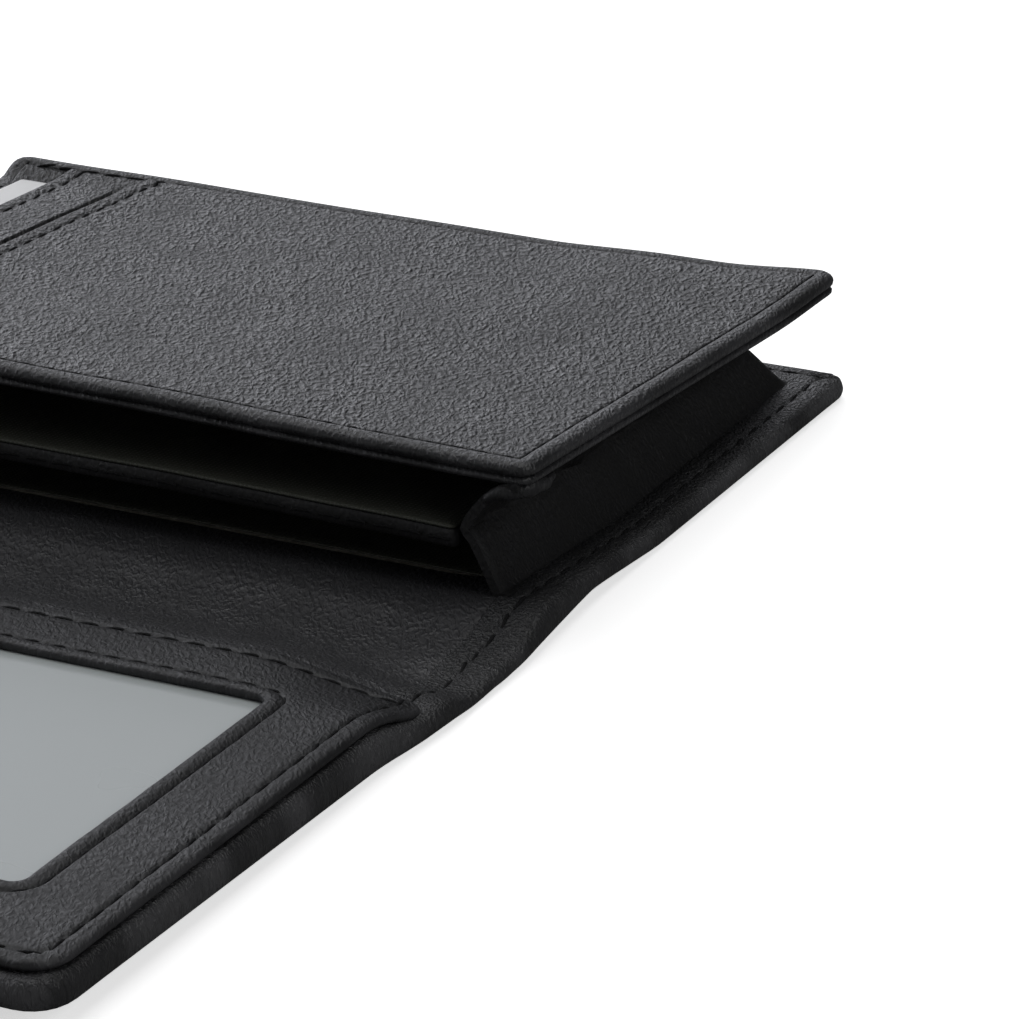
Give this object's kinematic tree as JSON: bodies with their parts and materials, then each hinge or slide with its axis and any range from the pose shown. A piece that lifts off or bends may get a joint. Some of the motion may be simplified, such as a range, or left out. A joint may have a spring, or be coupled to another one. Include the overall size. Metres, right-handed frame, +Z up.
{
  "type": "bifold wallet",
  "caption": "Open leather bifold wallet: gusseted pocket with a divider and card slots on one half, windowed ID pocket on the other, joined by a flexible spine.",
  "frame": {"origin": "under the middle of the open wallet, on the surface it lies on", "axes": "+X along the spine, +Y from the spine to the outer edge of the pocket half, +Z up"},
  "size_m": [0.1062, 0.162, 0.019],
  "materials": {
    "grain_leather": "pebbled, satin",
    "soft_leather": "fine grain, satin",
    "lining": "matte woven",
    "board": "pressed fibre board",
    "thread": "slightly waxed",
    "film": "clear sheet over a pale insert",
    "card": "satin white"
  },
  "bodies": {
    "back_cover": {"back_cover_leather": "grain_leather", "back_cover_board": "board", "back_cover_lining": "lining", "gusset_right": "soft_leather", "gusset_left": "soft_leather", "gusset_far": "soft_leather", "back_cover_thread": "thread"},
    "spine": {"spine_outer_leather": "grain_leather", "spine_inner_leather": "soft_leather", "spine_thread": "thread"},
    "front_cover": {"front_cover_leather": "grain_leather", "front_cover_board": "board", "front_cover_lining": "lining", "id_panel_leather": "grain_leather", "id_window_film": "film", "front_cover_thread": "thread", "id_window_thread": "thread"},
    "pocket_panel": {"panel_base_leather": "soft_leather", "panel_face_leather": "grain_leather", "card_slot_strip": "grain_leather", "panel_thread": "thread", "slot_threads": "thread"},
    "divider": {"divider_leather": "soft_leather", "divider_lining": "lining"},
    "card": {"slot_card": "card"}
  },
  "joints": [
    {"name": "spine_fold", "type": "hinge", "parent": "back_cover", "child": "spine", "pos_m": [0, 0.0093, 0.0035], "axis": [-1, 0, 0], "range_deg": [0, 87.23]},
    {"name": "front_fold", "type": "hinge", "parent": "spine", "child": "front_cover", "pos_m": [0, -0.0093, 0.0044], "axis": [-1, 0, 0], "range_deg": [0, 91.97]},
    {"name": "pocket_expand", "type": "slide", "parent": "back_cover", "child": "pocket_panel", "axis": [0, 0, 1], "range_m": [-0.006, 0.001], "deforming": ["gusset_right", "gusset_left", "gusset_far"]},
    {"name": "divider_follow", "type": "slide", "parent": "back_cover", "child": "divider", "axis": [0, 0, 1], "range_m": [-0.0037, 0.0007]},
    {"name": "card_slide", "type": "slide", "parent": "pocket_panel", "child": "card", "axis": [-1, 0, 0], "range_m": [0, 0.06]}
  ],
  "couplings": [
    {"joint": "front_fold", "follows": "spine_fold", "ratio": 1.052},
    {"joint": "divider_follow", "follows": "pocket_expand", "ratio": 0.6}
  ]
}
